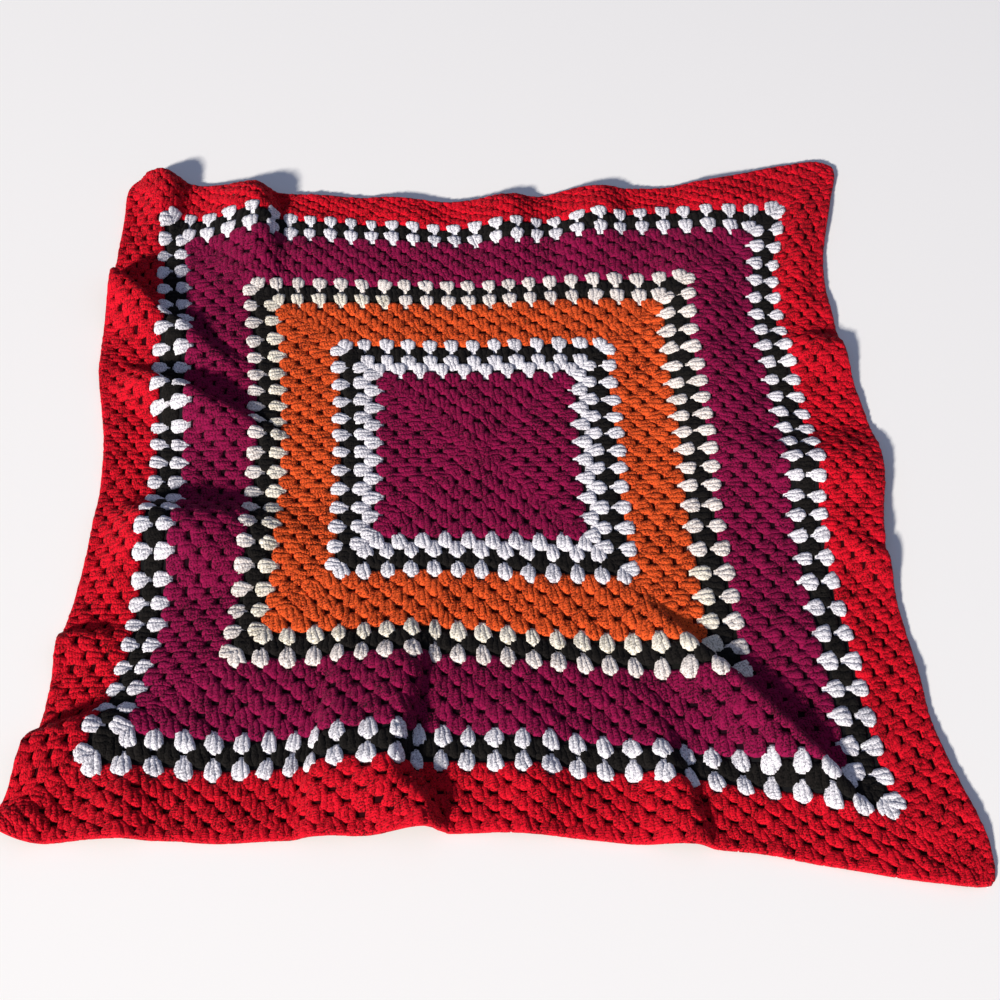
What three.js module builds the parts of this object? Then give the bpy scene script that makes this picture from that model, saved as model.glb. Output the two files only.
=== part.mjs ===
// A crocheted granny square blanket as it lies: one cloth, low soft folds at its rim, flat on the
// ground between them. Millimetres, +Z up; the cloth's own coordinates run from its middle.
import * as THREE from "three";

const roundDeep = 13.5; // one round of three-stitch clusters, worsted yarn
const rounds = 36;
const borderRounds = 6; // the outermost colour
const flatHalf = rounds * roundDeep; // half of the blanket's side laid flat
const borderAt = (rounds - borderRounds) * roundDeep;
const clothThick = 5; // double crochet in worsted yarn
const netCells = 48; // along each side, about 20 mm each
const yarnRed = 0xd0142a;

// Crests of the folds, from beyond the rim to where they die out, with half widths at both ends.
// lean pushes the crest over sideways, as a share of its height; atRim is the share of it at the rim.
const folds = {
  backCorner: { rim: [-418, 520], end: [-400, 330], high: 22, wide: [62, 46], lean: -0.2, atRim: 0.5 },
  backLeft: { rim: [-295, 520], end: [-255, 240], high: 27, wide: [62, 46], lean: -0.25, atRim: 0.5 },
  backDip: { rim: [-85, 520], end: [-70, 340], high: 7, wide: [60, 50], lean: 0, atRim: 0.7 },
  backMiddle: { rim: [50, 520], end: [65, 290], high: 15, wide: [70, 50], lean: -0.15, atRim: 0.5 },
  backRight: { rim: [180, 520], end: [165, 280], high: 16, wide: [60, 46], lean: -0.15, atRim: 0.5 },
  backFar: { rim: [335, 520], end: [310, 320], high: 9, wide: [70, 50], lean: 0, atRim: 0.7 },
  leftHigh: { rim: [-520, 296], end: [-330, 172], high: 34, wide: [50, 36], lean: 0.25, atRim: 0.9 },
  leftTail: { rim: [-400, 228], end: [-270, 110], high: 10, wide: [36, 32], lean: 0.3, atRim: 0 },
  leftMiddle: { rim: [-470, 140], end: [-205, -8], high: 26, wide: [42, 44], lean: 0.25, atRim: 0.1 },
  leftLow: { rim: [-485, -112], end: [-170, -120], high: 33, wide: [84, 70], lean: 0.2, atRim: 0.15 },
  leftNotch: { rim: [-520, -262], end: [-385, -245], high: 13, wide: [36, 30], lean: 0.3, atRim: 0.8 },
  leftFoot: { rim: [-520, -392], end: [-325, -345], high: 26, wide: [58, 42], lean: 0.3, atRim: 0.8 },
  frontTip: { rim: [-505, -505], end: [-395, -395], high: 18, wide: [60, 40], lean: 0, atRim: 1 },
  frontFoot: { rim: [-368, -520], end: [-352, -370], high: 9, wide: [46, 36], lean: -0.2, atRim: 0.6 },
  frontLeft: { rim: [-168, -520], end: [-145, -195], high: 15, wide: [46, 40], lean: 0.3, atRim: 0.35 },
  frontMiddle: { rim: [-122, -480], end: [-62, -195], high: 24, wide: [46, 40], lean: -0.3, atRim: 0.2 },
  frontStep: { rim: [-54, -520], end: [-100, -362], high: 23, wide: [52, 40], lean: -0.3, atRim: 0.5 },
  frontLow: { rim: [55, -520], end: [50, -260], high: 8, wide: [60, 50], lean: -0.2, atRim: 0.4 },
  frontRight: { rim: [206, -520], end: [160, -270], high: 14, wide: [42, 36], lean: -0.3, atRim: 0.5 },
  frontCorner: { rim: [392, -432], end: [120, -145], high: 20, wide: [46, 36], lean: 0.45, atRim: 0 },
  middleCrease: { rim: [-4, 135], end: [6, -150], high: 2.2, wide: [26, 26], lean: 0, atRim: 0 },
  rightShelf: { rim: [292, 400], end: [288, -150], high: 15, wide: [74, 84], lean: 0, atRim: 0 },
  rightEdge: { rim: [440, 470], end: [432, 60], high: 8, wide: [44, 44], lean: 0, atRim: 0 },
  rightHigh: { rim: [520, 160], end: [330, 172], high: 14, wide: [56, 44], lean: 0.2, atRim: 0.4 },
  rightMiddle: { rim: [520, -20], end: [250, -14], high: 19, wide: [80, 66], lean: 0.05, atRim: 0.15 },
  rightSlope: { rim: [520, -110], end: [330, -100], high: 10, wide: [80, 60], lean: 0, atRim: 0.7 },
  rightLow: { rim: [520, -185], end: [395, -108], high: 10, wide: [32, 28], lean: 0.3, atRim: 0.7 },
};
const crestFrom = 0.3; // a crest has its full height from this share of its length
const crestUntil = 0.36; // to this one
const slant = 1.1; // the side a crest leans to is steeper by this share of its lean
// Outer rounds lie uneven, just clear of the ground.
const ripples = { high: 3.2, clear: 0.5, longU: 118, longV: 94, skew: 0.35, from: 230, full: 330 };
const feet = [[-36, 36], [36, 36], [36, -36], [-21, -21]]; // in rounds from the middle: places that rest flat
const footReach = 45;

// How far the cloth lies from a true square: where the border starts (shift), more half way out (inner)
// and at the tips; drawnIn is how much the border draws in. Rows run from corner to corner, evenly spaced.
const corners = {
  backLeft: { shift: [-5, -20], inner: [-10, 1], tip: [5, 32] },
  backRight: { shift: [20, 10], inner: [-3, 1], tip: [20, 44] },
  frontRight: { shift: [4, -58], inner: [1, -5], tip: [34, 9] },
  frontLeft: { shift: [-10, 12], inner: [4, -5], tip: [-11, -26] },
};
const sides = {
  back: {
    from: "backLeft", to: "backRight",
    shift: [[-10, -10], [-12, -20], [-10, -30], [-8, -12], [5, 8]],
    inner: [[-4, 0], [-2, 5], [-5, 5]],
    drawnIn: [34, 37, 35, 36, 30, 34, 26],
  },
  right: {
    from: "frontRight", to: "backRight",
    shift: [[-2, -28], [-10, -2], [-1, -9], [-8, -12], [-9, -8]],
    inner: [[2, 0], [2, 4], [4, -3]],
    drawnIn: [22, 17, 19, 7, 14, 15, 9],
  },
  front: {
    from: "frontLeft", to: "frontRight",
    shift: [[4, -4], [-8, 4], [-11, 4], [-4, -8], [2, -26]],
    inner: [[3, 6], [2, -1], [-1, -8]],
    drawnIn: [30, 16, 11, 15, 12, 10, -2],
  },
  left: {
    from: "frontLeft", to: "backLeft",
    shift: [[18, 2], [24, -6], [22, 0], [12, -16], [6, -24]],
    inner: [[0, -2], [2, -4], [0, -8]],
    drawnIn: [19, 12, 25, 27, 15, 18, 24],
  },
};
const middleShift = [-2, 4];
const shiftPower = 2.2; // how fast the shifts fade towards the middle
const innerAt = 21 * roundDeep;
const innerReach = 200;
const tipReach = 180; // a corner's own pull ends this far from it
const snug = 0.014; // rounds half way out are worked this much tighter
const snugAt = 200;
const blunt = 9; // corners are rounded off by this
const bluntReach = 60;

const clamp = (value, low, high) => Math.min(Math.max(value, low), high);
const mix = (a, b, share) => a + (b - a) * share;
const dome = (share) => Math.cos((clamp(share, 0, 1) * Math.PI) / 2) ** 2; // 1 at 0, 0 at 1, level at both

// A smooth curve through a row of evenly spaced values.
function through(values, place) {
  const i = clamp(Math.floor(place), 0, values.length - 2);
  const t = clamp(place - i, 0, 1);
  const [p1, p2] = [values[i], values[i + 1]];
  const p0 = values[Math.max(i - 1, 0)];
  const p3 = values[Math.min(i + 2, values.length - 1)];
  return 0.5 * (2 * p1 + (p2 - p0) * t + (2 * p0 - 5 * p1 + 4 * p2 - p3) * t ** 2
    + (3 * p1 - p0 - 3 * p2 + p3) * t ** 3);
}

// A row's value at a place along its side, which runs from -borderAt to borderAt.
function alongRow(row, along) {
  return through(row, ((clamp(along / borderAt, -1, 1) + 1) / 2) * (row.length - 1));
}

function sideShift(name, key, along, axis) {
  const side = sides[name];
  const row = [corners[side.from][key], ...side[key], corners[side.to][key]];
  return alongRow(row.map((shift) => shift[axis]), along);
}

function borderPull(name, along, distance) {
  const inBorder = clamp((distance - borderAt) / (flatHalf - borderAt), 0, 1);
  return alongRow(sides[name].drawnIn, along) * inBorder;
}

// Sideways place of a point of the cloth, before its folds.
function spread(u, v) {
  const ring = Math.max(Math.abs(u), Math.abs(v), 1e-6);
  const onBackOrFront = Math.abs(v) >= Math.abs(u);
  const name = onBackOrFront ? (v > 0 ? "back" : "front") : u > 0 ? "right" : "left";
  const along = ((onBackOrFront ? u : v) / ring) * borderAt;
  const share = Math.min(ring / borderAt, 1) ** shiftPower;
  const halfWay = dome(Math.abs(ring - innerAt) / innerReach);
  const [dx, dy] = [0, 1].map((axis) => mix(middleShift[axis], sideShift(name, "shift", along, axis), share)
    + sideShift(name, "inner", along, axis) * halfWay);
  const scale = 1 - snug * dome(Math.abs(ring - snugAt) / snugAt);
  const place = [
    u * scale + dx - borderPull("right", v, u) + borderPull("left", v, -u),
    v * scale + dy - borderPull("back", u, v) + borderPull("front", u, -v),
  ];
  for (const [corner, { tip }] of Object.entries(corners)) {
    const right = corner.endsWith("Right") ? 1 : -1;
    const back = corner.startsWith("back") ? 1 : -1;
    const far = Math.hypot(u - right * flatHalf, v - back * flatHalf);
    const pull = clamp(1 - (far / tipReach) ** 2, 0, 1) ** 2;
    const dull = blunt * clamp(1 - far / bluntReach, 0, 1) ** 2;
    place[0] += tip[0] * pull - right * dull;
    place[1] += tip[1] * pull - back * dull;
  }
  return place;
}

// Underside of the cloth at (u, v): its place on the ground and its height over it.
function lie(u, v) {
  const [x, y] = spread(u, v);
  const ring = Math.max(Math.abs(u), Math.abs(v));
  const waves = Math.sin((2 * Math.PI * (u + ripples.skew * v)) / ripples.longU)
    * Math.sin((2 * Math.PI * (v - ripples.skew * u)) / ripples.longV);
  const uneven = (ripples.clear + ripples.high * (0.5 + 0.5 * waves))
    * dome((ripples.full - ring) / (ripples.full - ripples.from));
  const point = new THREE.Vector3(x, y, uneven);
  for (const { rim, end, high, wide, lean, atRim } of Object.values(folds)) {
    const length = Math.hypot(end[0] - rim[0], end[1] - rim[1]);
    const [cx, cy] = [(end[0] - rim[0]) / length, (end[1] - rim[1]) / length];
    const turn = Math.abs(cx) > 0.5 ? Math.sign(cx) : Math.sign(cy); // leans to +Y, or to -X
    const along = clamp(((u - rim[0]) * cx + (v - rim[1]) * cy) / length, 0, 1);
    const beside = ((v - rim[1]) * cx - (u - rim[0]) * cy) * turn;
    const reach = mix(wide[0], wide[1], along) * (1 - slant * lean * Math.sign(beside));
    const rise = high * dome(Math.abs(beside) / reach)
      * dome((along - crestUntil) / (1 - crestUntil))
      * (1 - (1 - atRim) * dome(along / crestFrom));
    point.x -= lean * rise * cy * turn;
    point.y += lean * rise * cx * turn;
    point.z += rise;
  }
  for (const foot of feet)
    point.z *= 1 - dome(Math.hypot(u - foot[0] * roundDeep, v - foot[1] * roundDeep) / footReach);
  return point;
}

function upwards(u, v) {
  const near = 2;
  const alongU = lie(u + near, v).sub(lie(u - near, v));
  const alongV = lie(u, v + near).sub(lie(u, v - near));
  return alongU.cross(alongV).normalize();
}

// The cloth as a net of points on its underside and on its face, closed round the rim.
function clothBody() {
  const across = netCells + 1;
  const lower = [];
  const upper = [];
  for (let j = 0; j < across; j++)
    for (let i = 0; i < across; i++) {
      const [u, v] = [i, j].map((step) => mix(-flatHalf, flatHalf, step / netCells));
      const under = lie(u, v);
      lower.push(under);
      upper.push(under.clone().addScaledVector(upwards(u, v), clothThick));
    }
  const faceStart = across * across;
  const triangles = [];
  // A cell is cut along the diagonal whose ends differ less in height, so that crests stay crests.
  const height = (i) => (i < faceStart ? lower[i] : upper[i - faceStart]).z;
  const quad = (a, b, c, d) => {
    if (Math.abs(height(a) - height(c)) <= Math.abs(height(b) - height(d))) triangles.push(a, b, c, a, c, d);
    else triangles.push(a, b, d, b, c, d);
  };
  const at = (i, j) => j * across + i;
  for (let j = 0; j < netCells; j++)
    for (let i = 0; i < netCells; i++) {
      const [a, b, c, d] = [at(i, j), at(i + 1, j), at(i + 1, j + 1), at(i, j + 1)];
      quad(a, d, c, b);
      quad(a + faceStart, b + faceStart, c + faceStart, d + faceStart);
    }
  for (let i = 0; i < netCells; i++) {
    const rims = [
      [at(i, 0), at(i + 1, 0)],
      [at(netCells, i), at(netCells, i + 1)],
      [at(netCells - i, netCells), at(netCells - i - 1, netCells)],
      [at(0, netCells - i), at(0, netCells - i - 1)],
    ];
    for (const [a, b] of rims) quad(a, b, b + faceStart, a + faceStart);
  }
  const body = new THREE.BufferGeometry().setFromPoints([...lower, ...upper]).setIndex(triangles);
  body.computeBoundingBox();
  const middle = body.boundingBox.getCenter(new THREE.Vector3());
  body.translate(-middle.x, -middle.y, -body.boundingBox.min.z);
  body.computeVertexNormals();
  return body;
}

const blanket = new THREE.Mesh(
  clothBody(),
  new THREE.MeshStandardMaterial({ color: yarnRed, roughness: 0.9 }),
);
blanket.name = "blanket";

const part = new THREE.Group();
part.add(blanket);
export default part;
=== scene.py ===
import math
import bpy
import numpy as np
from mathutils import Matrix, Vector


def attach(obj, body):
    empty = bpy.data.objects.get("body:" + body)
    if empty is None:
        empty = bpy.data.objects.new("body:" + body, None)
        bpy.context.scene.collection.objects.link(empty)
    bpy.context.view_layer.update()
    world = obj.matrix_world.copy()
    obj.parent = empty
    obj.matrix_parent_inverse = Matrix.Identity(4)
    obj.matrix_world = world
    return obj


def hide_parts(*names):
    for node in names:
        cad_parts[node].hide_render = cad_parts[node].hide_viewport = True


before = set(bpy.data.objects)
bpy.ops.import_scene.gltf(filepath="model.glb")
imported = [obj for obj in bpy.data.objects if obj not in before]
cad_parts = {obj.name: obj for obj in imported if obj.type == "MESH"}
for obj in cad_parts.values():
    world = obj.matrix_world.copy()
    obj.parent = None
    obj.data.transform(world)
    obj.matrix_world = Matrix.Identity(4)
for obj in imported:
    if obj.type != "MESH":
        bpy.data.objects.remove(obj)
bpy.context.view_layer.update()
mm = 0.001
luck = np.random.default_rng(7)

# How the cloth lies, in millimetres on the flat cloth, as in the solid part.

cloth = {
    "roundDeep": 13.5,  # one round of three-stitch clusters
    "rounds": 36,
    "borderRounds": 6,
    "thick": 5,
    "netCells": 48,
}
half = cloth["rounds"] * cloth["roundDeep"]
borderAt = (cloth["rounds"] - cloth["borderRounds"]) * cloth["roundDeep"]

# Each fold's crest runs from the rim, or beyond it, to the end where it dies out.
# wide: half widths at both ends, lean and atRim: how far it leans over and how high it is at the rim,
# both as shares of high
folds = {
    "backCorner": {"rim": (-418, 520), "end": (-400, 330),
                   "high": 22, "wide": (62, 46), "lean": -0.2, "atRim": 0.5},
    "backLeft": {"rim": (-295, 520), "end": (-255, 240),
                 "high": 27, "wide": (62, 46), "lean": -0.25, "atRim": 0.5},
    "backDip": {"rim": (-85, 520), "end": (-70, 340),
                "high": 7, "wide": (60, 50), "lean": 0, "atRim": 0.7},
    "backMiddle": {"rim": (50, 520), "end": (65, 290),
                   "high": 15, "wide": (70, 50), "lean": -0.15, "atRim": 0.5},
    "backRight": {"rim": (180, 520), "end": (165, 280),
                  "high": 16, "wide": (60, 46), "lean": -0.15, "atRim": 0.5},
    "backFar": {"rim": (335, 520), "end": (310, 320),
                "high": 9, "wide": (70, 50), "lean": 0, "atRim": 0.7},
    "leftHigh": {"rim": (-520, 296), "end": (-330, 172),
                 "high": 34, "wide": (50, 36), "lean": 0.25, "atRim": 0.9},
    "leftTail": {"rim": (-400, 228), "end": (-270, 110),
                 "high": 10, "wide": (36, 32), "lean": 0.3, "atRim": 0},
    "leftMiddle": {"rim": (-470, 140), "end": (-205, -8),
                   "high": 26, "wide": (42, 44), "lean": 0.25, "atRim": 0.1},
    "leftLow": {"rim": (-485, -112), "end": (-170, -120),
                "high": 33, "wide": (84, 70), "lean": 0.2, "atRim": 0.15},
    "leftNotch": {"rim": (-520, -262), "end": (-385, -245),
                  "high": 13, "wide": (36, 30), "lean": 0.3, "atRim": 0.8},
    "leftFoot": {"rim": (-520, -392), "end": (-325, -345),
                 "high": 26, "wide": (58, 42), "lean": 0.3, "atRim": 0.8},
    "frontTip": {"rim": (-505, -505), "end": (-395, -395),
                 "high": 18, "wide": (60, 40), "lean": 0, "atRim": 1},
    "frontFoot": {"rim": (-368, -520), "end": (-352, -370),
                  "high": 9, "wide": (46, 36), "lean": -0.2, "atRim": 0.6},
    "frontLeft": {"rim": (-168, -520), "end": (-145, -195),
                  "high": 15, "wide": (46, 40), "lean": 0.3, "atRim": 0.35},
    "frontMiddle": {"rim": (-122, -480), "end": (-62, -195),
                    "high": 24, "wide": (46, 40), "lean": -0.3, "atRim": 0.2},
    "frontStep": {"rim": (-54, -520), "end": (-100, -362),
                  "high": 23, "wide": (52, 40), "lean": -0.3, "atRim": 0.5},
    "frontLow": {"rim": (55, -520), "end": (50, -260),
                 "high": 8, "wide": (60, 50), "lean": -0.2, "atRim": 0.4},
    "frontRight": {"rim": (206, -520), "end": (160, -270),
                   "high": 14, "wide": (42, 36), "lean": -0.3, "atRim": 0.5},
    "frontCorner": {"rim": (392, -432), "end": (120, -145),
                    "high": 20, "wide": (46, 36), "lean": 0.45, "atRim": 0},
    "middleCrease": {"rim": (-4, 135), "end": (6, -150),
                     "high": 2.2, "wide": (26, 26), "lean": 0, "atRim": 0},
    "rightShelf": {"rim": (292, 400), "end": (288, -150),
                   "high": 15, "wide": (74, 84), "lean": 0, "atRim": 0},
    "rightEdge": {"rim": (440, 470), "end": (432, 60),
                  "high": 8, "wide": (44, 44), "lean": 0, "atRim": 0},
    "rightHigh": {"rim": (520, 160), "end": (330, 172),
                  "high": 14, "wide": (56, 44), "lean": 0.2, "atRim": 0.4},
    "rightMiddle": {"rim": (520, -20), "end": (250, -14),
                    "high": 19, "wide": (80, 66), "lean": 0.05, "atRim": 0.15},
    "rightSlope": {"rim": (520, -110), "end": (330, -100),
                   "high": 10, "wide": (80, 60), "lean": 0, "atRim": 0.7},
    "rightLow": {"rim": (520, -185), "end": (395, -108),
                 "high": 10, "wide": (32, 28), "lean": 0.3, "atRim": 0.7},
}
crestFrom, crestUntil = 0.3, 0.36  # a crest has its full height between these shares of its length
slant = 1.1  # the side a crest leans to is steeper by this share of its lean
# The middle lies flat on the ground. The rounds outside it lie a little uneven, just clear of the ground.
ripples = {"high": 3.2, "clear": 0.5, "longU": 118, "longV": 94, "skew": 0.35, "from": 230, "full": 330}
# outer points that touch the ground, in rounds from the middle
feet = [(-36, 36), (36, 36), (36, -36), (-21, -21)]
footReach = 45  # mm from a foot to where the cloth is clear again
# How far the cloth lies from a true square, from corner to corner. shift: where the border starts,
# inner: what a line further in adds, tip: the corner's own pull, drawnIn: how far the border draws in
corners = {
    "backLeft": {"shift": (-5, -20), "inner": (-10, 1), "tip": (5, 32)},
    "backRight": {"shift": (20, 10), "inner": (-3, 1), "tip": (20, 44)},
    "frontRight": {"shift": (4, -58), "inner": (1, -5), "tip": (34, 9)},
    "frontLeft": {"shift": (-10, 12), "inner": (4, -5), "tip": (-11, -26)},
}
sides = {
    "back": {
        "from": "backLeft", "to": "backRight",
        "shift": [(-10, -10), (-12, -20), (-10, -30), (-8, -12), (5, 8)],
        "inner": [(-4, 0), (-2, 5), (-5, 5)],
        "drawnIn": [34, 37, 35, 36, 30, 34, 26],
    },
    "right": {
        "from": "frontRight", "to": "backRight",
        "shift": [(-2, -28), (-10, -2), (-1, -9), (-8, -12), (-9, -8)],
        "inner": [(2, 0), (2, 4), (4, -3)],
        "drawnIn": [22, 17, 19, 7, 14, 15, 9],
    },
    "front": {
        "from": "frontLeft", "to": "frontRight",
        "shift": [(4, -4), (-8, 4), (-11, 4), (-4, -8), (2, -26)],
        "inner": [(3, 6), (2, -1), (-1, -8)],
        "drawnIn": [30, 16, 11, 15, 12, 10, -2],
    },
    "left": {
        "from": "frontLeft", "to": "backLeft",
        "shift": [(18, 2), (24, -6), (22, 0), (12, -16), (6, -24)],
        "inner": [(0, -2), (2, -4), (0, -8)],
        "drawnIn": [19, 12, 25, 27, 15, 18, 24],
    },
}
middleShift = (-2, 4)
shiftPower = 2.2  # how fast the shifts fade towards the middle
innerAt, innerReach = 21 * cloth["roundDeep"], 200
tipReach = 180  # a corner's own pull ends this far from it
snug, snugAt = 0.014, 200  # the rounds half way out are worked this much tighter
blunt, bluntReach = 9, 60  # corners are rounded off


def dome(share):  # 1 at 0, 0 at 1, level at both
    return np.cos(np.clip(share, 0, 1) * math.pi / 2) ** 2


def through(values, place):  # a smooth curve through evenly spaced values
    values = np.asarray(values, float)
    i = np.clip(np.floor(place).astype(int), 0, len(values) - 2)
    t = np.clip(place - i, 0, 1)
    p0, p1 = values[np.maximum(i - 1, 0)], values[i]
    p2, p3 = values[i + 1], values[np.minimum(i + 2, len(values) - 1)]
    return 0.5 * (2 * p1 + (p2 - p0) * t + (2 * p0 - 5 * p1 + 4 * p2 - p3) * t**2
                  + (3 * p1 - p0 - 3 * p2 + p3) * t**3)


def alongSides(name, key, along):  # the shifts of a side at these places along it
    side = sides[name]
    rows = np.array([corners[side["from"]][key], *side[key], corners[side["to"]][key]], float)
    return [through(rows[:, axis], (along / borderAt + 1) / 2 * (len(rows) - 1)) for axis in (0, 1)]


def drawn(name, along, distance):  # how far a side draws in here
    place = (np.clip(along / borderAt, -1, 1) + 1) / 2 * (len(sides[name]["drawnIn"]) - 1)
    return through(sides[name]["drawnIn"], place) * np.clip((distance - borderAt) / (half - borderAt), 0, 1)


def spread(u, v):  # sideways place of points of the cloth, before its folds
    ring = np.maximum(np.maximum(np.abs(u), np.abs(v)), 1e-6)
    share = np.minimum(ring / borderAt, 1) ** shiftPower
    inner = dome(np.abs(ring - innerAt) / innerReach)
    shift = np.zeros((2,) + u.shape)
    endOn = np.abs(v) >= np.abs(u)
    where = {
        "back": endOn & (v > 0), "front": endOn & (v <= 0),
        "right": ~endOn & (u > 0), "left": ~endOn & (u <= 0),
    }
    for name, here in where.items():
        along = (u if name in ("back", "front") else v)[here] / ring[here] * borderAt
        outer, more = alongSides(name, "shift", along), alongSides(name, "inner", along)
        for axis in (0, 1):
            middle = middleShift[axis]
            shift[axis][here] = middle + (outer[axis] - middle) * share[here] + more[axis] * inner[here]
    tight = 1 - snug * dome(np.abs(ring - snugAt) / snugAt)
    x = u * tight + shift[0] - drawn("right", v, u) + drawn("left", v, -u)
    y = v * tight + shift[1] - drawn("back", u, v) + drawn("front", u, -v)
    for name, corner in corners.items():
        right = 1 if name.endswith("Right") else -1
        back = 1 if name.startswith("back") else -1
        far = np.hypot(u - right * half, v - back * half)
        pull = np.clip(1 - (far / tipReach) ** 2, 0, 1) ** 2
        dull = blunt * np.clip(1 - far / bluntReach, 0, 1) ** 2
        x = x + corner["tip"][0] * pull - right * dull
        y = y + corner["tip"][1] * pull - back * dull
    return x, y


def lie(u, v):  # underside of the cloth
    x, y = spread(u, v)
    ring = np.maximum(np.abs(u), np.abs(v))
    waves = np.sin(2 * math.pi * (u + ripples["skew"] * v) / ripples["longU"])
    waves = waves * np.sin(2 * math.pi * (v - ripples["skew"] * u) / ripples["longV"])
    z = ripples["clear"] + ripples["high"] * (0.5 + 0.5 * waves)
    z = z * dome((ripples["full"] - ring) / (ripples["full"] - ripples["from"]))
    for fold in folds.values():
        rim, end = np.array(fold["rim"], float), np.array(fold["end"], float)
        long = math.dist(rim, end)
        cx, cy = (end - rim) / long
        turn = np.sign(cx) if abs(cx) > 0.5 else np.sign(cy)  # leans to +Y, or to -X
        along = np.clip(((u - rim[0]) * cx + (v - rim[1]) * cy) / long, 0, 1)
        beside = ((v - rim[1]) * cx - (u - rim[0]) * cy) * turn
        wide = fold["wide"][0] + (fold["wide"][1] - fold["wide"][0]) * along
        wide = wide * (1 - slant * fold["lean"] * np.sign(beside))
        rise = fold["high"] * dome(np.abs(beside) / wide) * dome((along - crestUntil) / (1 - crestUntil))
        rise = rise * (1 - (1 - fold["atRim"]) * dome(along / crestFrom))
        x = x - fold["lean"] * rise * cy * turn
        y = y + fold["lean"] * rise * cx * turn
        z = z + rise
    for foot in feet:
        far = np.hypot(u - foot[0] * cloth["roundDeep"], v - foot[1] * cloth["roundDeep"])
        z = z * (1 - dome(far / footReach))
    return np.stack([x, y, z], -1)


def onCloth(u, v, lift):  # points at a height over the underside
    near = 2
    facing = np.cross(lie(u + near, v) - lie(u - near, v), lie(u, v + near) - lie(u, v - near))
    facing /= np.linalg.norm(facing, axis=-1, keepdims=True)
    return lie(u, v) + facing * np.asarray(lift)[..., None]


steps = np.linspace(-half, half, cloth["netCells"] + 1)
netU, netV = np.meshgrid(steps, steps)
net = np.concatenate([onCloth(netU, netV, netU * 0 + lift).reshape(-1, 3) for lift in (0, cloth["thick"])])
least, most = net.min(0), net.max(0)
settle = -np.array([(least[0] + most[0]) / 2, (least[1] + most[1]) / 2, least[2]])

# The camera looks down on the cloth from its front side.

view = {
    "lens": 49.8,
    "sensor": 36,
    "stand": (-69.4, -977.7, 1313.8),  # mm, from the middle of the flat cloth
    "turn": -5.71,  # degrees, as the next two
    "down": 55.07,
    "roll": 4.5,
}
bpy.ops.object.camera_add()
camera = bpy.context.object
camera.data.lens = view["lens"]
camera.data.sensor_width = view["sensor"]
camera.matrix_world = (
    Matrix.Translation(Vector((np.array(view["stand"]) + settle) * mm))
    @ Matrix.Rotation(math.radians(view["turn"]), 4, "Z")
    @ Matrix.Rotation(math.radians(90 - view["down"]), 4, "X")
    @ Matrix.Rotation(math.radians(view["roll"]), 4, "Z")
)
bpy.context.scene.camera = camera
print("camera placed")

# The yarns.


def fromHex(code):  # sRGB hex to linear
    channels = [int(code[i:i + 2], 16) / 255 for i in (1, 3, 5)]
    return tuple(c / 12.92 if c <= 0.04045 else ((c + 0.055) / 1.055) ** 2.4 for c in channels) + (1,)


# a node with its settings, and its inputs from values or other nodes' sockets
def addNode(tree, kind, links=None, **settings):
    node = tree.nodes.new(kind)
    for key, value in settings.items():
        setattr(node, key, value)
    for key, source in (links or {}).items():
        if isinstance(source, bpy.types.NodeSocket):
            tree.links.new(source, node.inputs[key])
        else:
            node.inputs[key].default_value = source
    return node


yarn = {
    "ply": 3.2,  # mm from one ply to the next along a stitch, coarser than the real 2 mm so that it shows
    "tuft": 2.1,  # mm across a tuft of the loops, coarser than the real 1 mm for the same reason
    "fuzz": 1.1,  # mm across the fine fibres
    "uneven": 22,  # mm across a patch of the cloth that is a little lighter or darker
    "deep": 1.4,  # mm between the plies
    "wander": 9.0,  # how far the tufts push the plies aside
    "plyShare": 0.05,  # what plies, fuzz and patches add to the tufts' relief or tone
    "fuzzShare": 0.6,
    "unevenShare": 0.35,
    "hollowShadeAt": 0.8,  # tones at which the painted shade of the hollows and the lit colour are reached
    "litAt": 1.08,
    "roughness": 0.8,
    "sheen": 0.02,
    "startsWithin": 40,  # mm, the plies of a stitch start anywhere in this length
    "colours": {  # full light, and the painted shade in the hollows between the plies
        "redYarn": ("#d20b24", "#4a0004"),
        "plumYarn": ("#8c0c44", "#1e000c"),
        "orangeYarn": ("#e25826", "#540a00"),
        "whiteYarn": ("#eceaf1", "#9896a1"),
        "ivoryYarn": ("#eee6e2", "#9c928d"),
        "creamYarn": ("#efe8db", "#9e9786"),
        "blackYarn": ("#171413", "#020202"),
    },
}


def addMath(tree, operation, *inputs):
    return addNode(tree, "ShaderNodeMath", dict(enumerate(inputs)), operation=operation).outputs[0]


def addNoise(tree, place, size):  # soft noise with patches of this many mm
    links = {"Vector": place.outputs["Object"], "Scale": 1 / (size * mm), "Detail": 2.0, "Roughness": 0.65}
    return addNode(tree, "ShaderNodeTexNoise", links).outputs["Fac"]


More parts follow.
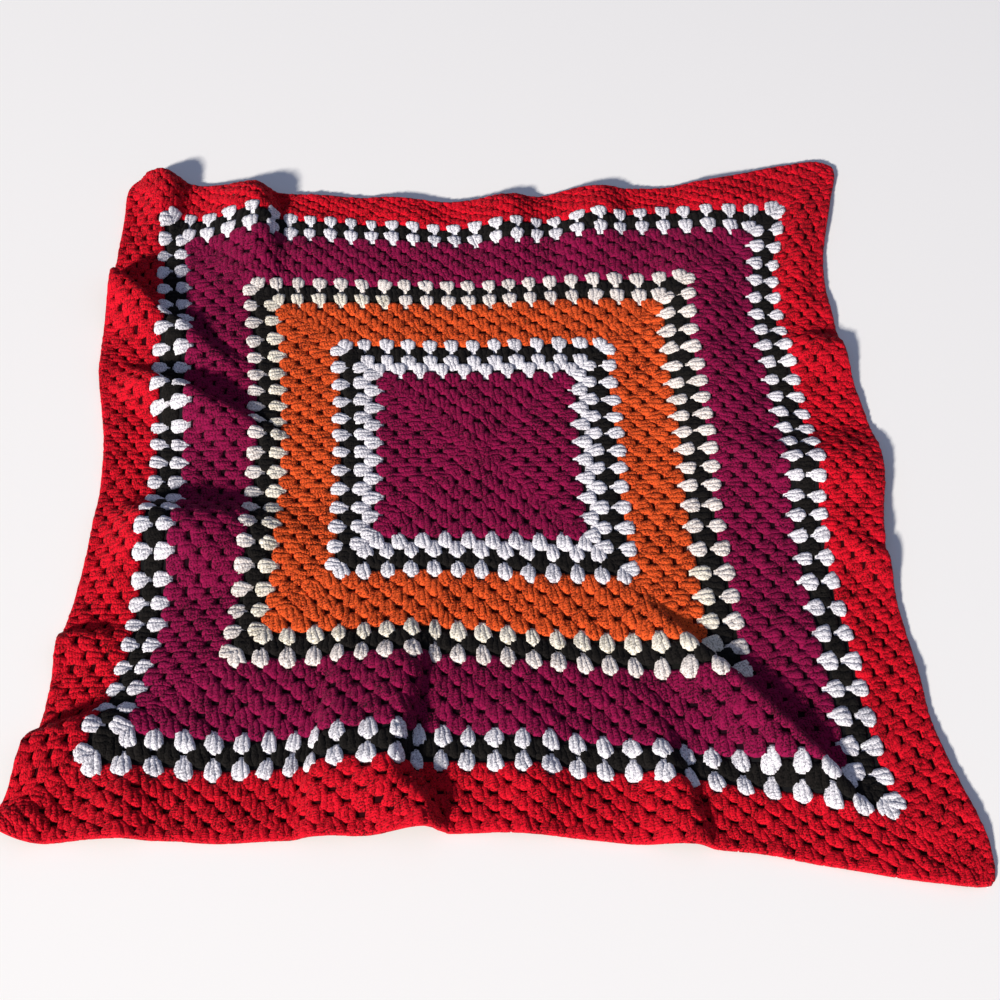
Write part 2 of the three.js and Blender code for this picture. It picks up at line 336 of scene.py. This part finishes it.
def yarnMaterial(name):  # worsted acrylic yarn: matt, flecked with painted light on its tufts and plies and painted shade in the hollows between them
    lit, hollowShade = (fromHex(code) for code in yarn["colours"][name])
    material = bpy.data.materials.new(name)
    material.use_nodes = True
    tree = material.node_tree
    shader = tree.nodes["Principled BSDF"]
    shader.inputs["Roughness"].default_value = yarn["roughness"]
    shader.inputs["IOR"].default_value = 1.5  # acrylic fibre
    shader.inputs["Specular IOR Level"].default_value = 0.1
    shader.inputs["Sheen Weight"].default_value = yarn["sheen"]
    shader.inputs["Sheen Roughness"].default_value = 0.5
    strand = addNode(tree, "ShaderNodeUVMap", uv_map="strand")
    split = addNode(tree, "ShaderNodeSeparateXYZ", {"Vector": strand.outputs["UV"]})
    along = addMath(tree, "MULTIPLY", split.outputs["Y"], 2 * math.pi / yarn["ply"])
    around = addMath(tree, "MULTIPLY_ADD", split.outputs["X"], 4 * math.pi, along)
    place = addNode(tree, "ShaderNodeTexCoord")
    tuft, fuzz, uneven = (addNoise(tree, place, yarn[size]) for size in ("tuft", "fuzz", "uneven"))
    wander = addMath(tree, "MULTIPLY_ADD", tuft, yarn["wander"], around)
    plies = addMath(tree, "SINE", wander)
    height = addMath(tree, "MULTIPLY_ADD", plies, yarn["plyShare"], tuft)
    rough = addMath(tree, "MULTIPLY_ADD", fuzz, yarn["fuzzShare"], height)
    mixed = addMath(tree, "MULTIPLY_ADD", uneven, yarn["unevenShare"], rough)
    # the tone runs from painted shade in the hollows up to the yarn's lit colour
    ramp = addNode(tree, "ShaderNodeValToRGB", {"Fac": mixed})
    dark, light = ramp.color_ramp.elements
    dark.position, dark.color = yarn["hollowShadeAt"], hollowShade
    light.position, light.color = yarn["litAt"], lit
    tree.links.new(ramp.outputs["Color"], shader.inputs["Base Color"])
    bump = addNode(tree, "ShaderNodeBump", {"Height": rough, "Distance": yarn["deep"] * mm, "Strength": 1.0})
    tree.links.new(bump.outputs["Normal"], shader.inputs["Normal"])
    return material


materials = {name: yarnMaterial(name) for name in yarn["colours"]}
print("yarns mixed")

# One stitch, modelled once: a post that widens outwards to a round head.

stitch = {
    "sides": 6,
    "sections": [  # outward from the round's edge, height, half width, half thickness
        (-19.8, 0.9, 2.4, 1.1),
        (-17.5, 2.2, 3.0, 1.8),
        (-14.0, 3.1, 3.4, 2.3),
        (-10.2, 3.4, 3.8, 2.2),
        (-6.2, 3.9, 4.2, 2.6),
        (-2.6, 3.6, 4.3, 2.5),
        (0.0, 2.9, 4.1, 2.1),
        (1.3, 1.4, 3.0, 1.2),
    ],
}
stitchLong = -stitch["sections"][0][0]
bakeSquare = {  # where things lie in a stitch's own square of the bake map
    "margin": 0.02,  # the post, unrolled
    "wide": 0.62,
    "high": 0.96,
    "baseAt": 0.82,  # its two ends, as small rounds
    "headAt": 0.93,
    "endsUp": 0.9,
    "endRadius": 0.05,
    "edgeMargin": 0.05,  # a piece of the last round's edge
    "edgeWide": 0.9,
}


def deselect():
    if bpy.context.object and bpy.context.object.mode != "OBJECT":
        bpy.ops.object.mode_set(mode="OBJECT")
    bpy.ops.object.select_all(action="DESELECT")


# Its points and faces, then the object is dropped. Modelling may leave the faces in another order each time,
# so they are sorted. The corner that a face starts at stays, since it decides how the face is split.
def readMesh(thing):
    data = thing.data
    points = np.array([vertex.co[:] for vertex in data.vertices])
    faces = sorted(list(face.vertices) for face in data.polygons)
    bpy.data.objects.remove(thing)
    return points, faces


def makePost():
    deselect()
    first = stitch["sections"][0]
    bpy.ops.mesh.primitive_circle_add(vertices=stitch["sides"], radius=1, fill_type="NGON",
                                      location=(0, first[0], first[1]), rotation=(math.radians(90), 0, 0))
    bpy.ops.object.transform_apply(location=True, rotation=True, scale=True)
    post = bpy.context.object
    bpy.ops.object.mode_set(mode="EDIT")
    bpy.ops.mesh.select_all(action="SELECT")
    bpy.ops.transform.resize(value=(first[2], 1, first[3]), center_override=(0, first[0], first[1]))
    before = first
    for section in stitch["sections"][1:]:
        step = (0, section[0] - before[0], section[1] - before[1])
        bpy.ops.mesh.extrude_region_move(TRANSFORM_OT_translate={"value": step})
        bpy.ops.transform.resize(value=(section[2] / before[2], 1, section[3] / before[3]),
                                 center_override=(0, section[0], section[1]))
        before = section
    bpy.ops.mesh.select_all(action="SELECT")
    bpy.ops.mesh.normals_make_consistent(inside=False)
    bpy.ops.object.mode_set(mode="OBJECT")
    return readMesh(post)


# For every face corner: the share of a turn round the strand and mm along it, and its place in the square.
def stitchArrays():
    points, faces = makePost()
    along, middles = np.array(stitch["sections"]).T[:2]
    low, high = along[0], along[-1]
    heights = np.interp(points[:, 1], along, middles)
    strand, bake = [], []
    for face in faces:
        around = np.array([math.atan2(points[i][2] - heights[i], points[i][0]) for i in face]) / (2 * math.pi)
        onSide = len(face) == 4
        if onSide:
            around = (around - around[0] + 0.5) % 1 - 0.5 + around[0] % 1
            around = around - math.floor(around.min() + 1e-6)
        endAt = bakeSquare["baseAt"] if points[face[0]][1] < low / 2 else bakeSquare["headAt"]
        for turn, i in zip(around, face):
            strand.append((turn, points[i][1]))
            if onSide:
                away = (points[i][1] - low) / (high - low)
                bake.append((bakeSquare["margin"] + bakeSquare["wide"] * turn,
                             bakeSquare["margin"] + bakeSquare["high"] * away))
            else:
                bake.append((endAt + bakeSquare["endRadius"] * math.cos(turn * 2 * math.pi),
                             bakeSquare["endsUp"] + bakeSquare["endRadius"] * math.sin(turn * 2 * math.pi)))
    return points, faces, np.array(strand), np.array(bake)


points, faces, strandMap, bakeMap = stitchArrays()
faceCorners = np.concatenate(faces)
counts = np.array([len(face) for face in faces])
print("stitch modelled:", len(points), "points,", len(faces), "faces")

# Clusters of three stitches, round by round.

cluster = {
    "fan": [2.5, 3.4, 4.2, 4.7, 5.0],  # mm between its stitches, from their bases to their heads
    "skew": 1.1,  # mm from the bases to the heads, round the cloth
    "cornerRoom": 3,  # the two clusters of a corner stand this far off it
    "cornerLean": 3,  # and share one space, from which they lean apart
    "leanBase": 0.4,  # shares of that lean at the bases, and lost from there to the heads
    "leanFall": 0.6,
    "rimWiden": 1.5,  # the last round's heads are this many times as wide
    "middleOut": 0.6,  # mm that the middle head stands out past the other two
    "outerLow": 0.5,  # mm that the heads of the other two lie lower
    "pastHead": 1.06,  # share of a stitch's length where its head ends
    "turnsAt": 11,  # mm inwards of the round's edge, the point a cluster is turned about
    "swaysAt": 0.3,  # share of its length about which a cluster sways
    "middleRoom": 0.8,  # mm kept free at the very middle
    "raisedAt": 19,  # mm inwards of the edge, where a base is raised most
    "raisedReach": 12,
    "lowest": 0.1,  # mm over the cloth's underside
}
loose = {  # standard deviations
    "turned": 4,  # degrees, a cluster
    "sway": 0.7,  # mm, its heads aside
    "knobbly": 0.3,  # mm, each point
    "plump": 0.06,  # share of a cluster's width
    "long": 0.04,  # share of its length
    "aside": 0.25,  # mm, a stitch
    "ends": 0.4,  # mm, where a stitch ends
    "lift": 0.18,  # mm, its height
    "edge": 0.3,  # mm, the loops of the edge
}
paleShape = {  # wider, longer and baseWider as factors or shares, the rest in mm
    "wider": 1.04, "proud": 0.8, "baseRaised": -0.7, "longer": 1.07, "baseWider": 0, "headsOut": 1.3,
}
blackShape = {
    "wider": 1.18, "proud": 0, "baseRaised": 0.7, "longer": 1.06, "baseWider": 0.3, "headsOut": 0,
}
colourShape = {
    "wider": 1.16, "proud": 0, "baseRaised": 1, "longer": 1.06, "baseWider": 0.18, "headsOut": 0,
}
shapes = {
    "whiteYarn": paleShape, "ivoryYarn": paleShape, "creamYarn": paleShape, "blackYarn": blackShape,
    "redYarn": colourShape, "plumYarn": colourShape, "orangeYarn": colourShape,
}
bands = [  # yarn and rounds of each piece
    ("middlePlum", "plumYarn", 1, 9),
    ("innerWhite", "whiteYarn", 10, 11),
    ("innerBlack", "blackYarn", 12, 12),
    ("innerWhiteEdge", "whiteYarn", 13, 13),
    ("orangeBand", "orangeYarn", 14, 18),
    ("middleCream", "creamYarn", 19, 19),
    ("middleCreamRest", "ivoryYarn", 19, 19),
    ("middleBlack", "blackYarn", 20, 20),
    ("middleIvory", "ivoryYarn", 21, 21),
    ("plumBandInner", "plumYarn", 22, 24),
    ("plumBandOuter", "plumYarn", 25, 27),
    ("outerWhite", "whiteYarn", 28, 28),
    ("outerBlack", "blackYarn", 29, 29),
    ("outerWhiteEdge", "whiteYarn", 30, 30),
    ("redBorderInner", "redYarn", 31, 33),
    ("redBorderOuter", "redYarn", 34, 36),
]
# one round changes to a cooler white, from a cluster on its back side to one on its right
newBall = {"at": 19, "fromBack": 6, "untilRight": 15}
edging = {  # the last round's edge: a chain of loops
    "parts": 6,  # for each cluster
    "sides": 6,
    "inside": 1.2,  # mm inside the round's edge
    "halfWide": 2.3,
    "halfThick": 1.9,
    "over": 3.0,  # mm over the cloth's underside
    "cornerReach": 5,
    "cornerCut": 16,
}


def atCorner(r, k):  # 1 for a side's last cluster, -1 for its first
    return (k == r - 1) * 1.0 - (k == 0)


def alongSide(r, k):  # a cluster's place along its side
    return (2 * k + 1 - r) * cloth["roundDeep"] - cluster["cornerRoom"] * atCorner(r, k)


def turnSide(side, along, outward):  # from a side's own directions to the flat cloth's
    along, outward, side = np.broadcast_arrays(along, outward, side)
    side = side.astype(int)
    return (np.choose(side, [along, outward, -along, -outward]),
            np.choose(side, [outward, -along, -outward, along]))


def clustersOf(name, first, last):  # round, side (back, right, front, left) and place along it, clockwise
    rounds = range(first, last + 1)
    rows = np.array([(r, side, k) for r in rounds for side in range(4) for k in range(r)], float)
    if first != newBall["at"]:
        return rows
    side, k = rows[:, 1], rows[:, 2]
    rest = ((side == 0) & (k >= newBall["fromBack"])) | ((side == 1) & (k < newBall["untilRight"]))
    return rows[rest == name.endswith("Rest")]


def placeStitches(rows, shape):  # flat places and heights of every point of every stitch
    r, side, k = (rows[:, i][:, None, None] for i in range(3))
    ofCluster, ofStitch, ofPoint = (len(rows), 1, 1), (len(rows), 3, 1), (len(rows), 3, len(points))
    inside = r < cloth["rounds"]  # the last round is worked more evenly
    x, y, z = (points[:, i][None, None, :] for i in range(3))
    which = np.array([-1, 0, 1])[None, :, None]
    out = np.clip(1 + y / stitchLong, 0, cluster["pastHead"])  # 0 at the base, 1 at the head
    fan = through(cluster["fan"], np.minimum(out, 1) * (len(cluster["fan"]) - 1))
    widen = 1 + (np.where(inside, 1.0, cluster["rimWiden"]) - 1) * out
    across = (x + which * fan) * widen * luck.normal(shape["wider"], loose["plump"], ofCluster)
    across = across * (1 + shape["baseWider"] * (1 - np.minimum(out, 1)))
    across = across + luck.normal(0, loose["knobbly"], ofPoint)
    across = across - cluster["skew"] * (out - 0.5)
    across = across + luck.normal(0, loose["aside"], ofStitch)
    across = across + luck.normal(0, loose["sway"], ofCluster) * (out - cluster["swaysAt"])
    room = (r * cloth["roundDeep"] - cluster["middleRoom"]) / stitchLong
    long = np.minimum(room, shape["longer"]) * luck.normal(1, loose["long"], ofCluster)
    outward = np.where(y < 0, y * long, y) + shape["headsOut"] * out
    outward = outward + luck.normal(0, loose["ends"], ofStitch) * inside
    outward = outward + cluster["middleOut"] * (1 - np.abs(which)) * out * inside
    turn = np.radians(luck.normal(0, loose["turned"], ofCluster)) * inside
    across, outward = across + turn * (outward + cluster["turnsAt"]), outward - turn * across
    leaning = cluster["leanBase"] - cluster["leanFall"] * out
    across = across + cluster["cornerLean"] * atCorner(r, k) * leaning
    lift = z + luck.normal(0, loose["lift"], ofStitch) + luck.normal(0, loose["knobbly"], ofPoint)
    lift = lift - cluster["outerLow"] * np.abs(which) * out + shape["proud"]
    lift = lift + shape["baseRaised"] * dome((y + cluster["raisedAt"]) / cluster["raisedReach"])
    u, v = turnSide(side, alongSide(r, k) + across, r * cloth["roundDeep"] + outward)
    return u, v, np.maximum(lift, cluster["lowest"])


def edgingRings():  # rings of points along the last round's edge
    turns = np.arange(edging["sides"]) * 2 * math.pi / edging["sides"]
    reach = half - edging["cornerReach"]
    count = edging["parts"] * cloth["rounds"]
    rings = []
    for side in range(4):
        along = -reach + 2 * reach * np.arange(count) / count
        cut = edging["cornerCut"]
        corner = np.clip((np.abs(along) - half + cut) / (cut - edging["cornerReach"]), 0, 1)
        inside = edging["inside"] + (edging["cornerReach"] - edging["inside"]) * corner**2
        wobble = luck.normal(0, loose["edge"], (3, count, 1))
        outward = half - inside[:, None] + wobble[0] + edging["halfWide"] * np.cos(turns)
        u, v = turnSide(side, along[:, None], outward)
        lift = edging["over"] + wobble[1] + (edging["halfThick"] + wobble[2]) * np.sin(turns)
        rings.append(np.stack([u, v, np.maximum(lift, cluster["lowest"])], -1))
    return np.concatenate(rings)


def buildMesh(name, places, cornerIndex, cornerCount, material):
    data = bpy.data.meshes.new(name)
    data.vertices.add(len(places))
    data.vertices.foreach_set("co", places.astype(np.float32).ravel())
    data.loops.add(len(cornerIndex))
    data.loops.foreach_set("vertex_index", cornerIndex.astype(np.int32))
    data.polygons.add(len(cornerCount))
    starts = np.concatenate([[0], np.cumsum(cornerCount)[:-1]])
    data.polygons.foreach_set("loop_start", starts.astype(np.int32))
    data.update(calc_edges=True)
    data.validate()
    data.shade_smooth()
    data.materials.append(material)
    thing = bpy.data.objects.new(name, data)
    bpy.context.scene.collection.objects.link(thing)
    return thing


def squareAt(number, perSide):  # lower left corner of a square of the bake map
    return np.stack([number % perSide, number // perSide], -1)[:, None, :]


def makeBand(name, yarnName, first, last):
    rows = clustersOf(name, first, last)
    places = onCloth(*placeStitches(rows, shapes[yarnName])).reshape(-1, 3)
    count = len(rows) * 3
    index = (faceCorners[None, :] + np.arange(count)[:, None] * len(points)).ravel()
    cornerCount = np.tile(counts, count)
    strand = np.tile(strandMap[None], (count, 1, 1))
    strand[:, :, 1] += luck.uniform(0, yarn["startsWithin"], (count, 1))
    strand = strand.reshape(-1, 2)

    edge = edgingRings() if last == cloth["rounds"] else np.zeros((0, edging["sides"], 3))
    # the bake map has a square for each stitch, and one for the edge over each cluster
    perSide = math.ceil(math.sqrt(count + len(edge) // edging["parts"]))
    bake = (squareAt(np.arange(count), perSide) + bakeMap[None]).reshape(-1, 2)
    if len(edge):
        around = edging["sides"]
        ring, turn = np.divmod(np.arange(len(edge) * around), around)
        after, beyond = (ring + 1) % len(edge), (turn + 1) % around
        quads = np.stack([ring * around + turn, ring * around + beyond,
                          after * around + beyond, after * around + turn], -1) + len(places)
        places = np.concatenate([places, onCloth(*np.moveaxis(edge, -1, 0)).reshape(-1, 3)])
        index = np.concatenate([index, quads.ravel()])
        cornerCount = np.concatenate([cornerCount, np.full(len(quads), 4)])
        turns = np.stack([turn, turn + 1, turn + 1, turn], -1) / around
        onward = np.array([0, 0, 1, 1])
        partLong = 2 * cloth["roundDeep"] / edging["parts"]
        edgeStrand = np.stack([turns, (ring[:, None] + onward) * partLong], -1)
        strand = np.concatenate([strand, edgeStrand.reshape(-1, 2)])
        within = (ring % edging["parts"])[:, None] + onward
        edgeBake = np.stack([turns, within / edging["parts"]], -1) * bakeSquare["edgeWide"]
        edgeBake = edgeBake + bakeSquare["edgeMargin"] + squareAt(count + ring // edging["parts"], perSide)
        bake = np.concatenate([bake, edgeBake.reshape(-1, 2)])

    band = buildMesh(name, (places + settle) * mm, index, cornerCount, materials[yarnName])
    band.data.uv_layers.new(name="strand").data.foreach_set("uv", strand.astype(np.float32).ravel())
    band.data.uv_layers.new(name="OFBake").data.foreach_set("uv", (bake / perSide).astype(np.float32).ravel())
    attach(band, "root")
    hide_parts("blanket")
    return band


stitches = [makeBand(*band) for band in bands]
print("stitches placed:", sum(len(band.data.polygons) for band in stitches), "faces")

# A closed sheet in painted shade: what shows deep between the stitches, each round's yarn darkened as if in
# their shade.

inner = {
    "low": 0.6,  # mm over the cloth's underside
    "high": 2.0,
    "inset": 3.5,
    "cells": 72,
    "roughness": 0.95,
}
# each round's yarn darkened to painted shade, for the sheet under the stitches
paintedShadeColours = {"plumYarn": "#1c0310", "whiteYarn": "#141416", "ivoryYarn": "#141412", "creamYarn": "#141412",
                "blackYarn": "#060606", "orangeYarn": "#3a1004", "redYarn": "#2c0006"}


def paintedShadeMaterial():  # the same yarns, darkened to painted shade as if always in the shade of the stitches over them
    material = bpy.data.materials.new("paintedShadeSheet")
    material.use_nodes = True
    tree = material.node_tree
    shader = tree.nodes["Principled BSDF"]
    shader.inputs["Roughness"].default_value = inner["roughness"]
    shader.inputs["Specular IOR Level"].default_value = 0.1
    flat = addNode(tree, "ShaderNodeUVMap", uv_map="flatCloth")
    split = addNode(tree, "ShaderNodeSeparateXYZ", {"Vector": flat.outputs["UV"]})
    aside, ahead = (addMath(tree, "ABSOLUTE", split.outputs[axis]) for axis in ("X", "Y"))
    ring = addMath(tree, "MAXIMUM", aside, ahead)
    share = addMath(tree, "MULTIPLY", ring, 1 / cloth["rounds"])
    ramp = addNode(tree, "ShaderNodeValToRGB", {"Fac": share})
    ramp.color_ramp.interpolation = "CONSTANT"
    ramp.color_ramp.elements.remove(ramp.color_ramp.elements[1])
    for name, yarnName, first, _ in bands:
        if name.endswith("Rest"):
            continue
        place = (first - 1) / cloth["rounds"]
        stop = ramp.color_ramp.elements[0] if first == 1 else ramp.color_ramp.elements.new(place)
        stop.color = fromHex(paintedShadeColours[yarnName])
    tree.links.new(ramp.outputs["Color"], shader.inputs["Base Color"])
    return material


# a closed sheet in painted shade, a little over the cloth's underside, under the stitches
def makePaintedShadeSheet():
    cells = inner["cells"]
    reach = half - inner["inset"]
    steps = np.linspace(-reach, reach, cells + 1)
    across, away = np.meshgrid(steps, steps)
    layers = [onCloth(across, away, across * 0 + inner[key]).reshape(-1, 3) for key in ("low", "high")]
    places = (np.concatenate(layers) + settle) * mm
    flat = np.concatenate([np.stack([across.ravel(), away.ravel()], -1)] * 2) / cloth["roundDeep"]
    at = np.arange((cells + 1) ** 2).reshape(cells + 1, cells + 1)
    a, b, c, d = at[:-1, :-1].ravel(), at[:-1, 1:].ravel(), at[1:, 1:].ravel(), at[1:, :-1].ravel()
    top = (cells + 1) ** 2
    rims = [
        (at[0, :-1], at[0, 1:]), (at[:-1, -1], at[1:, -1]),
        (at[-1, :0:-1], at[-1, -2::-1]), (at[:0:-1, 0], at[-2::-1, 0]),
    ]
    quads = [np.stack([a, d, c, b], -1), np.stack([a, b, c, d], -1) + top]
    quads += [np.stack([p, q, q + top, p + top], -1) for p, q in rims]
    quads = np.concatenate(quads)
    sheet = buildMesh("paintedShadeSheet", places, quads.ravel(), np.full(len(quads), 4), paintedShadeMaterial())
    flat = flat[quads.ravel()].astype(np.float32)
    sheet.data.uv_layers.new(name="flatCloth").data.foreach_set("uv", flat.ravel())
    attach(sheet, "root")
    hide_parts("blanket")
    return sheet


# the sheet of painted shade under the stitches
paintedShadeCloth = makePaintedShadeSheet()
print("inner strands laid")

# The studio: a pale floor, a warm key light and a cool sky.

studio = {  # metres and watts
    "floor": "#fcfcfb",
    "floorSize": 26,
    "floorRoughness": 0.9,
    "floorDrop": 0.0005,
    "sky": 0.24,
    "skyColour": "#c4d4ff",
    "backdrop": 0.85,  # what the camera sees past the floor
    "key": {"stand": (-12.0, -16.0, 8.9), "power": 8900, "size": 1.9, "colour": "#fff8ee"},
    "fill": {"stand": (1.5, -1.0, 3.2), "power": 4, "size": 2.5, "colour": "#ffffff"},
}


def floorMaterial():  # plain painted studio floor, matt
    material = bpy.data.materials.new("paintedFloor")
    material.use_nodes = True
    shader = material.node_tree.nodes["Principled BSDF"]
    shader.inputs["Base Color"].default_value = fromHex(studio["floor"])
    shader.inputs["Roughness"].default_value = studio["floorRoughness"]
    return material


def addLamp(lamp):  # a soft square light, aimed at the middle of the cloth
    bpy.ops.object.light_add(type="AREA", location=lamp["stand"])
    light = bpy.context.object
    light.data.energy = lamp["power"]
    light.data.color = fromHex(lamp["colour"])[:3]
    light.data.size = lamp["size"]
    light.rotation_euler = (Vector((0, 0, 0)) - light.location).to_track_quat("-Z", "Y").to_euler()


deselect()
bpy.ops.mesh.primitive_plane_add(size=studio["floorSize"], location=(0, 0, -studio["floorDrop"]))
floor = bpy.context.object
floor.name = "studioFloor"
floor.data.materials.append(floorMaterial())

addLamp(studio["key"])
addLamp(studio["fill"])

world = bpy.data.worlds.new("studioAir")
bpy.context.scene.world = world
world.use_nodes = True
air = world.node_tree
sky = air.nodes["Background"]
sky.inputs["Color"].default_value = fromHex(studio["skyColour"])
sky.inputs["Strength"].default_value = studio["sky"]
ray = addNode(air, "ShaderNodeLightPath")
backdrop = addNode(air, "ShaderNodeBackground",
                   {"Color": fromHex(studio["floor"]), "Strength": studio["backdrop"]})
either = addNode(air, "ShaderNodeMixShader",
                 {0: ray.outputs["Is Camera Ray"], 1: sky.outputs[0], 2: backdrop.outputs[0]})
air.links.new(either.outputs[0], air.nodes["World Output"].inputs["Surface"])
bpy.context.scene.view_settings.view_transform = "Standard"
print("studio lit")
